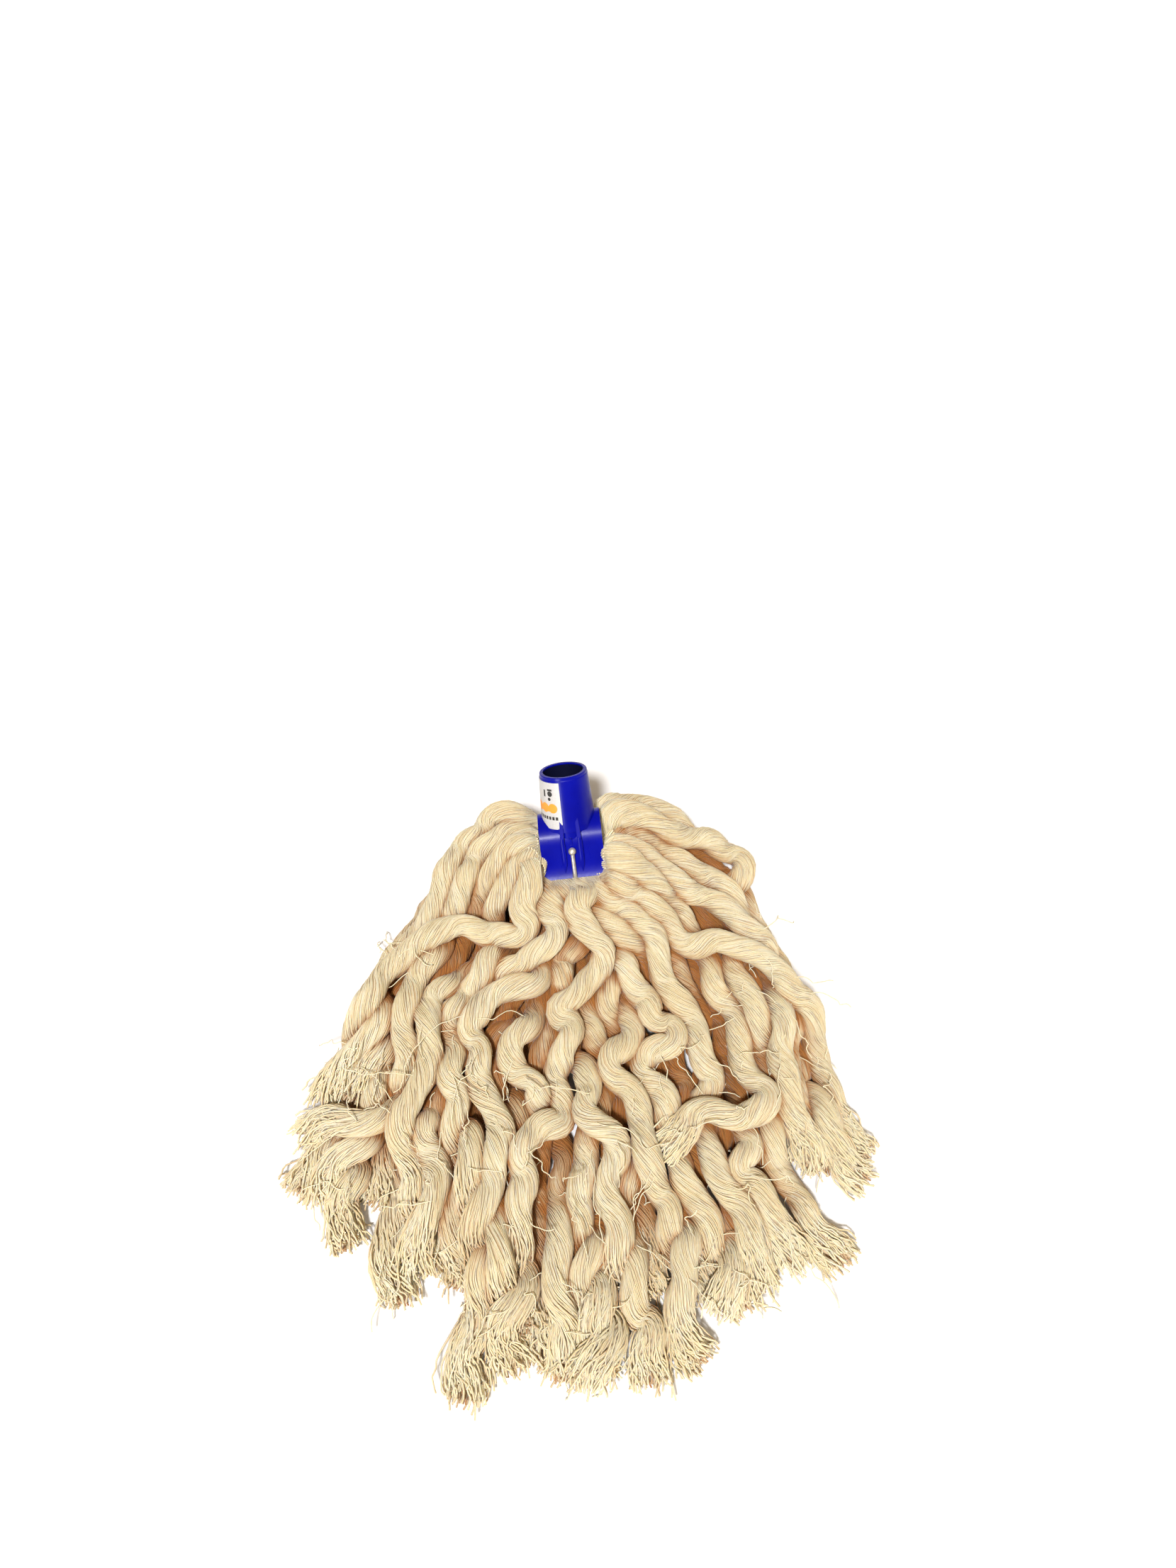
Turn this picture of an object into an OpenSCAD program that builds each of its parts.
// Socket mop head: a plastic handle socket with a saddle, one retaining wire,
// a paper label and twenty thick cotton strands that run through the saddle.
// Millimetres, +Z up, floor level with the lowest strand. The origin is the
// centre of the socket's mouth, where a handle goes in.

/* [Handle socket] */
// bore for the mop handle
bore_d = 28.6; // [26:0.2:30]
// depth of the bore from the mouth
bore_depth = 46; // [40:1:48]
// outside diameter at the mouth
mouth_d = 33.4; // [32:0.2:36]
// outside diameter where the tube meets the saddle
tube_base_d = 38.6; // [36:0.2:40]
// height of the socket along its own axis
socket_h = 74; // [68:1:80]

/* [Saddle] */
// width of the saddle along the strands
saddle_w = 44; // [40:0.5:50]
// outside depth of the saddle, front plate to back plate
saddle_d = 36.5; // [36:0.5:42]
// wall of the saddle plates
saddle_wall = 2.2; // [1.6:0.1:2.6]
// height of the round top of the saddle above its lower edge
arch_h = 41.5; // [40:0.5:44]
// how far the lower lip flares out
lip_flare = 2.8; // [1:0.1:3]
// height of the flared lip
lip_h = 12; // [8:0.5:13]

/* [Ribs and wire hole] */
// distance between the two ribs at their lower ends
rib_gap = 12.4; // [11:0.1:15]
// rib width at its widest
rib_w = 3.8; // [2:0.1:4]
// how far a rib stands off the plate
rib_proud = 2.8; // [2:0.1:3]
// height of the wire hole above the lower edge
wire_hole_z = 20; // [19.5:0.5:21]
// wire hole diameter
wire_hole_d = 3.6; // [3:0.1:5]

/* [Retaining wire] */
// wire diameter
wire_d = 2.8; // [2:0.1:3]
// diameter of the ball head at the front
wire_head_d = 5.5; // [4:0.1:6.5]
// how far below the saddle's lower edge the wire passes
wire_drop = 13.5; // [12.5:0.5:16]

/* [Label] */
// label height along the tube
label_h = 34; // [25:1:35]
// label angle around the tube
label_angle = 102; // [60:1:120]
// where the label starts, degrees round from the front
label_start = 13; // [5:1:40]
// paper thickness
label_t = 0.3; // [0.2:0.05:0.6]

/* [Strands] */
// diameter of a free strand
strand_d = 17; // [14:0.5:18]
// diameter of a strand squeezed in the saddle
waist_d = 6.4; // [5.6:0.1:6.4]
// height of one layer of crossing strands
layer_h = 13; // [11:0.5:15]
// length of one kink of the hidden strands
kink_len = 55; // [45:1:80]
// sideways size of those kinks
kink_size = 4.5; // [0:0.5:6]

/* [Pose] */
// how far the socket leans back from upright
tilt_back = 37; // [30:1:42]
// how far the socket leans to the left
lean_left = 3.5; // [0:0.5:10]
// how far the socket is turned to the left
turn_left = 5.5; // [0:0.5:10]
// height of the saddle's lower edge above the floor
saddle_z = 34; // [34:1:40]

/* [Part to draw] */

/* [Hidden] */
$fn = 72;
eps = 0.01;
tube_z = socket_h - bore_depth - 2.4; // underside of the bore floor
lip_step_z = socket_h - 2;
sides = 8;      // sides of a strand tube
ring_step = 15; // distance between rings along a strand
plate_y = saddle_d / 2;
arch_r = saddle_d / 2;
step_z = 34;    // where the tube wall ends between the ribs

plastic_c = [0.02, 0.05, 0.70];
steel_c = [0.62, 0.62, 0.60];
paper_c = [0.93, 0.93, 0.92];
cotton_c = [0.86, 0.76, 0.58];

// ---------------------------------------------------------------- pose
// socket frame: X along the saddle, -Y the front face, +Z up the tube
function turn_x(p, a) = [p[0], p[1]*cos(a) - p[2]*sin(a), p[1]*sin(a) + p[2]*cos(a)];
function turn_y(p, a) = [p[0]*cos(a) + p[2]*sin(a), p[1], -p[0]*sin(a) + p[2]*cos(a)];
function turn_z(p, a) = [p[0]*cos(a) - p[1]*sin(a), p[0]*sin(a) + p[1]*cos(a), p[2]];
function lean(p) = turn_z(turn_y(turn_x(p, -tilt_back), -lean_left), turn_left);
function to_floor(p) = lean(p) + [0, 0, saddle_z];
mouth_at = to_floor([0, 0, socket_h]);

module in_socket_frame() {
  translate([0, 0, saddle_z] - mouth_at) rotate([-tilt_back, -lean_left, turn_left]) children();
}

// -------------------------------------------------------------- socket
// side view of the saddle in the Y-Z plane of the socket frame
module saddle_outline(inset) {
  r = arch_r - inset;
  zc = arch_h - arch_r;
  lip_r = (lip_h*lip_h + lip_flare*lip_flare)/(2*lip_flare);
  difference() {
    union() {
      translate([0, zc]) circle(r = r);
      translate([-r, -5]) square([2*r, zc + 5]);
      // lower lip, flared in a hollow curve
      difference() {
        translate([-r - lip_flare, -0.2]) square([2*(r + lip_flare), lip_h + 0.2]);
        for (side = [-1, 1]) translate([side*(r + lip_r), lip_h]) circle(r = lip_r, $fn = 144);
      }
      translate([-r - lip_flare, -5]) square([2*(r + lip_flare), 5]);
    }
    translate([-60, -20]) square([120, 20 - (inset > 0 ? 5 : 0)]);
  }
}

module along_x(w) {
  rotate([90, 0, 90]) translate([0, 0, -w/2]) linear_extrude(height = w) children();
}

// the tube's wall ends in a step where it meets the plates; only its bore goes on down
module tube_body() {
  rotate_extrude() polygon([[0, tube_z], [arch_r - 0.6, tube_z], [arch_r - 0.6, step_z],
    [tube_base_d/2, step_z], [tube_base_d/2 - 0.4, arch_h - 4], [mouth_d/2 + 0.35, lip_step_z - 0.6],
    [mouth_d/2, lip_step_z], [mouth_d/2, socket_h - 0.4], [mouth_d/2 - 0.4, socket_h], [0, socket_h]]);
}

// one rib: leaf-shaped from the front, a gusset from the side, with a round back
module rib(side) {
  x_low = side*rib_gap/2;
  x_top = side*(rib_gap/2 - 0.8);
  back_r = rib_w/2 + 0.3;
  intersection() {
    translate([0, -arch_r - 8, 0]) rotate([-90, 0, 0]) linear_extrude(height = 12) mirror([0, 1])
      polygon([[x_top - rib_w/4, arch_h + 3], [x_low - rib_w/2.4, 26], [x_low - rib_w/2, 18],
               [x_low - rib_w/2.4, 11], [x_low, 3.5], [x_low + rib_w/2.4, 11], [x_low + rib_w/2, 18],
               [x_low + rib_w/2.4, 26], [x_top + rib_w/4, arch_h + 3]]);
    along_x(30) polygon([[-arch_r + 3, arch_h + 4], [-arch_r + 1.2, arch_h + 4],
      [-arch_r - rib_proud, step_z - 4], [-arch_r - rib_proud, 14], [-arch_r - rib_proud + 0.6, 6],
      [-arch_r - 1.2, 3], [-arch_r + 3, 2]]);
    translate([side*(rib_gap/2 - 0.2), -arch_r - rib_proud + back_r]) linear_extrude(height = arch_h + 6) {
      circle(r = back_r);
      translate([-back_r, 0]) square([2*back_r, 8]);
    }
  }
}

module socket() {
  color(plastic_c) in_socket_frame() difference() {
    union() {
      along_x(saddle_w) saddle_outline(0);
      tube_body();
      for (face = [0, 180]) rotate([0, 0, face]) {
        for (side = [-1, 1]) rib(side);
        // small upright bar above the wire hole
        translate([-0.7, -arch_r - 0.9, wire_hole_z + 4.5]) cube([1.4, 2, 5]);
      }
    }
    // handle bore and its lead-in
    translate([0, 0, socket_h - bore_depth]) cylinder(d = bore_d, h = bore_depth + 1);
    // yarn channel, leaving the bore's wall and floor standing
    difference() {
      along_x(saddle_w + 2) saddle_outline(saddle_wall);
      translate([0, 0, tube_z]) cylinder(d = bore_d + 2*saddle_wall + 0.8, h = 40);
    }
    for (face = [0, 180]) rotate([0, 0, face]) {
      // wire hole
      translate([0, -arch_r - 4, wire_hole_z]) rotate([-90, 0, 0])
        cylinder(d = wire_hole_d, h = 12, $fn = 32);
      // groove and slit that let the wire cross the lip
      translate([-1.7, -arch_r - 6, -1]) cube([3.4, 5.6, 11]);
      translate([-1.7, -arch_r - 6, -1]) cube([3.4, 12, 4]);
    }
  }
}

// ------------------------------------------------------ retaining wire
// closed round the bundle: ball head and shank through the plates,
// down the back, under the strands and up the front
wire_front = arch_r + 2;
wire_bend = 5;
module wire_bar(p, dir, len) {
  translate(p) rotate(dir) cylinder(d = wire_d, h = len, $fn = 24);
}
module wire_arc(y, z, from) {
  translate([0, y, z]) rotate([from, 0, 0]) rotate([0, 90, 0])
    rotate_extrude(angle = 90, $fn = 48) translate([wire_bend, 0]) circle(d = wire_d, $fn = 24);
}
module retaining_wire() {
  b = wire_front - wire_bend;
  color(steel_c) in_socket_frame() {
    translate([0, -wire_front - 0.6, wire_hole_z + 0.5]) sphere(d = wire_head_d, $fn = 32);
    // shank through both plates
    wire_bar([0, -wire_front - 0.6, wire_hole_z], [-90, 0, 0], wire_front + 0.6 + b + eps);
    wire_arc(b, wire_hole_z - wire_bend, 90);
    // down the back
    wire_bar([0, wire_front, -wire_drop + wire_bend - eps], [0, 0, 0],
      wire_hole_z - 2*wire_bend + wire_drop + 2*eps);
    wire_arc(b, -wire_drop + wire_bend, 0);
    // under the strands
    wire_bar([0, -b - eps, -wire_drop], [-90, 0, 0], 2*b + 2*eps);
    wire_arc(-b, -wire_drop + wire_bend, -90);
    // up the front, tip tucked under the head
    wire_bar([0, -wire_front, -wire_drop + wire_bend - eps], [0, 0, 0],
      wire_drop - wire_bend + wire_hole_z - wire_head_d/2 + 0.5);
  }
}

// --------------------------------------------------------------- label
module label() {
  r_low = tube_base_d/2 - 0.4;
  r_high = mouth_d/2 + 0.35;
  top = lip_step_z - 1.4;
  function r_at(z) = r_high + (r_low - r_high)*(lip_step_z - 0.6 - z)/(lip_step_z - 0.6 - arch_h + 4);
  color(paper_c) in_socket_frame() difference() {
    rotate([0, 0, 270 - label_start - label_angle]) rotate_extrude(angle = label_angle)
      polygon([[r_at(top - label_h), top - label_h], [r_at(top), top],
               [r_at(top) + label_t, top], [r_at(top - label_h) + label_t, top - label_h]]);
    // cleared from the round top of the saddle
    along_x(saddle_w + 10) saddle_outline(-0.4);
    // rounded lower corner
    rotate([0, 0, 270 - label_start]) translate([20, 0, top - label_h]) along_x(16)
      polygon([[1, -1], [1, 7.5], [-0.4, 3.2], [-1.4, 1.4], [-3.2, 0.4], [-7, -1]]);
  }
}

// ------------------------------------------------------------- strands
// A tail is a list of [x, y, layer] stations on the floor plan, from the
// saddle outward; layer 0 lies on the floor. x and y in millimetres.
left_tails = [
  [[-50,30,3.5],[-65,25,3],[-80,10,2.5],[-90,-5,2.5],[-90,-25,2],[-95,-45,1.5],[-110,-60,1],
   [-120,-75,0.5],[-130,-95,0.5],[-125,-115,1],[-135,-135,0.5],[-150,-170,0]],
  [[-50,15,3.5],[-65,5,3],[-75,-15,3],[-80,-35,2.5],[-90,-50,1.5],[-100,-65,1],[-105,-85,0.5],
   [-110,-105,1],[-110,-125,0.5],[-110,-145,0.5],[-120,-170,0.5],[-115,-190,0],[-120,-230,0]],
  [[-45,0,3.5],[-60,-15,3],[-70,-30,2.5],[-80,-50,1.5],[-85,-70,1],[-95,-90,0.5],[-100,-110,0],
   [-100,-130,0],[-95,-150,0],[-105,-165,0.5],[-120,-180,1],[-175,-185,0]],
  [[-45,-20,3.5],[-55,-35,3],[-60,-55,2],[-65,-75,1.5],[-80,-90,1.5],[-95,-105,1],[-95,-125,1],
   [-90,-145,1],[-95,-160,1],[-110,-175,1],[-100,-190,0.5],[-95,-255,0]],
  [[-30,-30,3.5],[-35,-45,3.5],[-35,-60,3],[-50,-65,3],[-70,-55,3],[-85,-55,2.5],[-105,-65,2],
   [-115,-75,1.5],[-125,-90,1],[-125,-105,1],[-135,-120,0],[-135,-140,0],[-140,-160,0],
   [-150,-185,0],[-175,-220,0]],
  [[-45,35,1.5],[-60,35,0.5],[-80,15,0],[-95,-15,0],[-110,-50,0],[-120,-90,0],[-120,-125,0],
   [-140,-165,0]],
  [[-45,25,2],[-70,15,1.5],[-85,-20,1],[-100,-60,0],[-115,-100,0],[-125,-145,0],[-130,-175,0],
   [-160,-225,0]],
  [[-45,10,1.5],[-65,-5,1.5],[-80,-45,0],[-95,-85,0],[-105,-120,0],[-110,-155,0],[-105,-185,0],
   [-110,-220,0],[-110,-285,0]],
  [[-45,-5,2],[-60,-20,1],[-75,-50,0],[-85,-90,0],[-90,-125,0],[-85,-160,0],[-95,-185,0],
   [-85,-215,0],[-85,-265,0]],
  [[-25,-30,3],[-30,-45,2.5],[-40,-60,1.5],[-55,-70,2.5],[-60,-85,2],[-75,-95,1.5],[-85,-110,1.5],
   [-80,-130,1],[-85,-150,1],[-75,-165,1],[-70,-185,0.5],[-70,-225,0]],
  [[-45,20,1],[-65,5,0],[-90,-35,0],[-105,-75,0],[-125,-110,0],[-130,-140,0],[-135,-170,0],
   [-140,-195,0],[-145,-255,0]],
  [[-40,0,1],[-50,-25,0],[-55,-65,0],[-65,-100,0],[-70,-135,0],[-70,-170,0],[-65,-195,0],
   [-55,-245,0]],
  [[-35,-15,1.5],[-40,-45,0.5],[-45,-80,0],[-55,-115,0],[-60,-155,0],[-60,-190,0],[-65,-230,0],
   [-65,-275,0]],
  [[-25,-30,2],[-30,-50,1],[-35,-80,1],[-45,-105,0.5],[-55,-125,0],[-50,-160,0],[-45,-185,0],
   [-55,-215,0],[-45,-240,0],[-40,-300,0]],
  [[-20,-30,3],[-15,-45,3],[-10,-55,3],[-15,-70,3],[-30,-75,2.5],[-45,-80,2.5],[-55,-95,1.5],
   [-65,-110,1],[-80,-125,0],[-80,-145,0],[-80,-165,0],[-90,-185,0],[-80,-205,0],[-70,-265,0]],
  [[-30,-15,1],[-20,-55,0],[-30,-90,0],[-35,-125,0],[-45,-160,0],[-35,-185,0],[-40,-225,0],
   [-35,-265,0],[-35,-325,0]],
  [[-25,-10,0.5],[-10,-45,0],[-15,-85,0],[-25,-120,0],[-20,-160,0],[-15,-195,0],[-10,-230,0],
   [-10,-270,0],[-10,-325,0]],
  [[-10,-30,2],[-5,-45,2],[-15,-65,1.5],[-15,-85,1.5],[-25,-105,1.5],[-35,-120,1.5],[-45,-135,1.5],
   [-45,-150,1],[-30,-160,1],[-30,-175,0],[-30,-190,0],[-30,-210,0],[-20,-235,0],[-15,-320,0]],
  [[-15,-30,2.5],[-15,-45,2],[-20,-60,1.5],[-20,-80,1.5],[-30,-95,2],[-50,-100,2],[-65,-110,2],
   [-70,-125,1.5],[-60,-150,1],[-55,-170,1],[-45,-190,0.5],[-45,-210,0.5],[-55,-230,0.5],
   [-55,-275,0]],
  [[-5,-25,3],[0,-45,3],[5,-60,3],[-5,-70,3],[-15,-80,2.5],[-5,-95,2],[-10,-110,1],[-15,-130,0.5],
   [-25,-155,0],[-30,-180,0],[-50,-225,0],[-50,-255,0],[-65,-340,0]]];

right_tails = [
  [[25,40,3.5],[45,45,3.5],[70,40,3],[90,25,2],[105,5,0.5],[120,-25,0],[125,-50,0],[135,-85,0],
   [140,-115,0.5],[135,-145,0.5],[145,-170,0.5],[170,-205,0]],
  [[30,30,4],[55,25,4],[80,20,3.5],[105,20,2.5],[120,10,2],[125,-5,1.5],[110,-15,1],
   [100,-30,0.5],[115,-50,0.5],[130,-75,0.5],[130,-105,0],[135,-135,0],[140,-165,0],[150,-205,0]],
  [[45,10,3.5],[65,5,3],[85,0,2.5],[100,-10,2],[115,-25,1.5],[120,-50,1],[115,-75,1],[120,-95,1],
   [130,-120,1],[130,-140,0.5],[130,-160,0.5],[125,-185,1],[130,-205,0.5],[140,-225,0],
   [165,-265,0]],
  [[45,-5,3.5],[65,-15,3],[85,-25,2.5],[105,-35,2],[120,-50,2],[130,-65,1.5],[135,-85,1],
   [140,-105,1],[145,-125,1],[135,-145,1],[140,-165,0.5],[155,-205,0]],
  [[40,-15,3.5],[60,-30,3],[75,-40,2],[85,-55,1.5],[95,-75,1.5],[100,-95,1.5],[110,-110,1],
   [115,-130,1],[120,-150,1],[130,-165,1],[120,-180,1],[100,-180,1],[80,-175,1],[50,-200,0.5]],
  [[35,35,1.5],[55,25,0],[75,-10,0],[95,-50,0],[115,-90,0],[120,-130,0],[120,-170,0],
   [115,-205,0],[125,-260,0]],
  [[40,20,2],[60,0,1],[95,-35,0],[120,-75,0],[135,-110,0],[145,-140,0],[155,-165,0],
   [180,-215,0]],
  [[40,0,1],[55,-35,0],[70,-80,0],[70,-115,0],[75,-155,0],[70,-195,0],[70,-230,0],[65,-270,0],
   [75,-320,0]],
  [[35,-10,2.5],[55,-30,1.5],[80,-50,0.5],[95,-80,0],[105,-115,0],[110,-150,0],[110,-175,0],
   [115,-195,0.5],[105,-210,0.5],[115,-230,0.5],[140,-265,0]],
  [[30,-25,3.5],[45,-35,3],[65,-45,3],[75,-60,2.5],[90,-65,2.5],[100,-60,2.5],[115,-65,2.5],
   [130,-75,2],[135,-90,1.5],[145,-105,1.5],[155,-120,1],[160,-140,0.5],[160,-155,0.5],
   [180,-205,0]],
  [[35,-5,1],[30,-45,0],[40,-90,0],[40,-125,0],[45,-165,0],[40,-200,0],[35,-240,0],[35,-275,0],
   [50,-330,0]],
  [[20,-25,2],[25,-50,1],[35,-80,1],[20,-95,1],[20,-110,0.5],[30,-125,0],[40,-150,0],
   [30,-180,0],[40,-205,0],[40,-230,0],[45,-285,0]],
  [[30,-20,2.5],[45,-45,2],[55,-65,2],[70,-75,2],[75,-95,1],[90,-105,0.5],[90,-120,0],
   [100,-135,0],[90,-150,0],[95,-170,0],[90,-190,0],[95,-225,0],[100,-250,0],[95,-295,0]],
  [[20,-30,2.5],[25,-45,2],[30,-65,2.5],[35,-80,2.5],[45,-95,2],[50,-110,2],[65,-115,2],
   [65,-130,2],[50,-135,1.5],[45,-150,1],[60,-165,1],[65,-185,0.5],[70,-210,0.5],[80,-235,0.5],
   [105,-290,0]],
  [[25,-30,3],[40,-40,3],[55,-55,3],[55,-75,2.5],[60,-90,2],[75,-100,2],[80,-115,1.5],
   [80,-130,1.5],[90,-150,1],[80,-165,0.5],[85,-190,0],[95,-210,0.5],[105,-235,0.5],[115,-280,0]],
  [[25,0,0.5],[15,-50,0],[20,-95,0],[15,-140,0],[20,-180,0],[10,-215,0],[15,-255,0],
   [15,-330,0]],
  [[15,-25,1.5],[20,-60,1],[15,-85,1],[10,-110,1.5],[15,-130,1],[20,-145,0.5],[20,-170,0],
   [15,-195,0.5],[10,-220,0.5],[10,-245,0.5],[20,-330,0]],
  [[5,-30,2],[5,-55,1.5],[0,-85,1],[0,-110,0.5],[0,-135,1],[10,-150,1],[15,-165,1],[10,-180,1],
   [25,-190,1],[30,-205,0.5],[25,-220,0.5],[30,-240,0.5],[25,-275,0]],
  [[15,-30,2.5],[15,-45,3],[25,-55,3],[40,-60,3],[50,-70,2.5],[45,-85,1.5],[35,-105,1],
   [40,-125,1],[25,-140,1],[30,-155,1],[45,-170,1],[45,-190,1],[50,-210,0.5],[60,-235,0.5],
   [75,-285,0]],
  [[5,-30,3],[0,-45,3],[10,-60,3],[25,-70,3],[20,-85,2.5],[5,-95,2.5],[-10,-105,2],[-5,-120,2],
   [-5,-135,2],[-15,-150,1.5],[-10,-165,1.5],[-10,-185,1.5],[-25,-190,1.5],[-40,-195,1],
   [-40,-215,0.5],[-40,-235,0.5],[-45,-275,0]]];

// strands whose course is hidden below others kink by a plain wave
left_wave  = [0,0,0,0,0, 1,1,1,1,0, 1,1,1,1,0, 1,1,0,0,0];
right_wave = [0,0,0,0,0, 1,1,1,0,0, 1,0,0,0,0, 1,0,0,0,0];
// strands leaving by the front of the saddle turn off before its ends
left_exit  = [24,24,24,24,20, 24,24,24,24,18, 24,24,22,16,14, 22,20,8,12,5];
right_exit = [24,24,24,24,22, 24,24,24,22,18, 24,16,20,14,16, 20,12,6,10,5];

function row(i) = floor(i/5);
function seat(i) = [waist_d*(i%5 - 2), 14 - waist_d*row(i)]; // front-back and height in the saddle
function waist_point(i, x) = to_floor([x, -seat(i)[0], seat(i)[1]]);
function waist(i) = let (l = left_exit[i], r = right_exit[i])
  [for (x = [-l, -l/2, 0, r/2, r]) waist_point(i, x)];
function lift(q) = [q[0], q[1], strand_d/2 + layer_h*q[2]];
function flip(v) = [for (i = [len(v) - 1 : -1 : 0]) v[i]];

// stations of a tail, with the wave added between them
function unit(v) = v/max(norm(v), eps);
function side_of(v) = unit([v[1], -v[0], 0]);
function spline(a, b, c, d, t) = 0.5*(2*b + (c - a)*t + (2*a - 5*b + 4*c - d)*t*t
  + (3*b - a - 3*c + d)*t*t*t);
function at(v, i) = v[min(max(i, 0), len(v) - 1)];
function parts(a, b) = max(1, round(norm(b - a)/ring_step));
function course(v) = concat([for (i = [0 : len(v) - 2]) let (n = parts(v[i], v[i+1]))
    for (k = [0 : n - 1]) spline(at(v, i-1), v[i], v[i+1], at(v, i+2), k/n)], [v[len(v)-1]]);
function waved(v, on, shift) = [for (i = [0 : len(v) - 1]) let (
    s = i*ring_step, g = on*kink_size*min(1, i/4),
    t = at(v, i+1) - at(v, i-1), w = 360*s/kink_len + shift)
  v[i] + g*sin(w)*side_of(t) + [0, 0, 0.5*g*(1 + cos(w))]];
function tail_path(tail, on, shift) = waved(course([for (q = tail) lift(q)]), on, shift);
function strand_path(i) = course(concat(
  flip(tail_path(left_tails[i], left_wave[i], 70*i)), waist(i),
  tail_path(right_tails[i], right_wave[i], 70*i + 120)));

// radius grows from the squeezed waist to the free strand
function girth(p) = waist_d/2 + (strand_d - waist_d)/2
  * min(1, max(0, (norm(p - [0, 0, saddle_z]) - 19)/26));

module strand(i) {
  c = strand_path(i);
  n = len(c);
  rings = [for (j = [0 : n - 1]) let (
      t = unit(at(c, j+1) - at(c, j-1)), u = unit(cross(t, [0, 0, 1])), v = cross(u, t),
      r = girth(c[j]))
    for (k = [0 : sides - 1]) c[j] + r*(cos(360*(k + 0.5)/sides)*u + sin(360*(k + 0.5)/sides)*v)];
  walls = [for (j = [0 : n - 2], k = [0 : sides - 1]) let (
      a = j*sides + k, b = j*sides + (k + 1)%sides)
    each [[a, a + sides, b], [b, a + sides, b + sides]]];
  color(cotton_c) translate(-mouth_at) polyhedron(points = rings, convexity = 8,
    faces = concat(walls, [[for (k = [0 : sides - 1]) k]],
      [[for (k = [sides - 1 : -1 : 0]) (n - 1)*sides + k]]));
}

module strand_01() strand(0);
module strand_02() strand(1);
module strand_03() strand(2);
module strand_04() strand(3);
module strand_05() strand(4);
module strand_06() strand(5);
module strand_07() strand(6);
module strand_08() strand(7);
module strand_09() strand(8);
module strand_10() strand(9);
module strand_11() strand(10);
module strand_12() strand(11);
module strand_13() strand(12);
module strand_14() strand(13);
module strand_15() strand(14);
module strand_16() strand(15);
module strand_17() strand(16);
module strand_18() strand(17);
module strand_19() strand(18);
module strand_20() strand(19);

socket();
retaining_wire();
label();
strand_01();
strand_02();
strand_03();
strand_04();
strand_05();
strand_06();
strand_07();
strand_08();
strand_09();
strand_10();
strand_11();
strand_12();
strand_13();
strand_14();
strand_15();
strand_16();
strand_17();
strand_18();
strand_19();
strand_20();
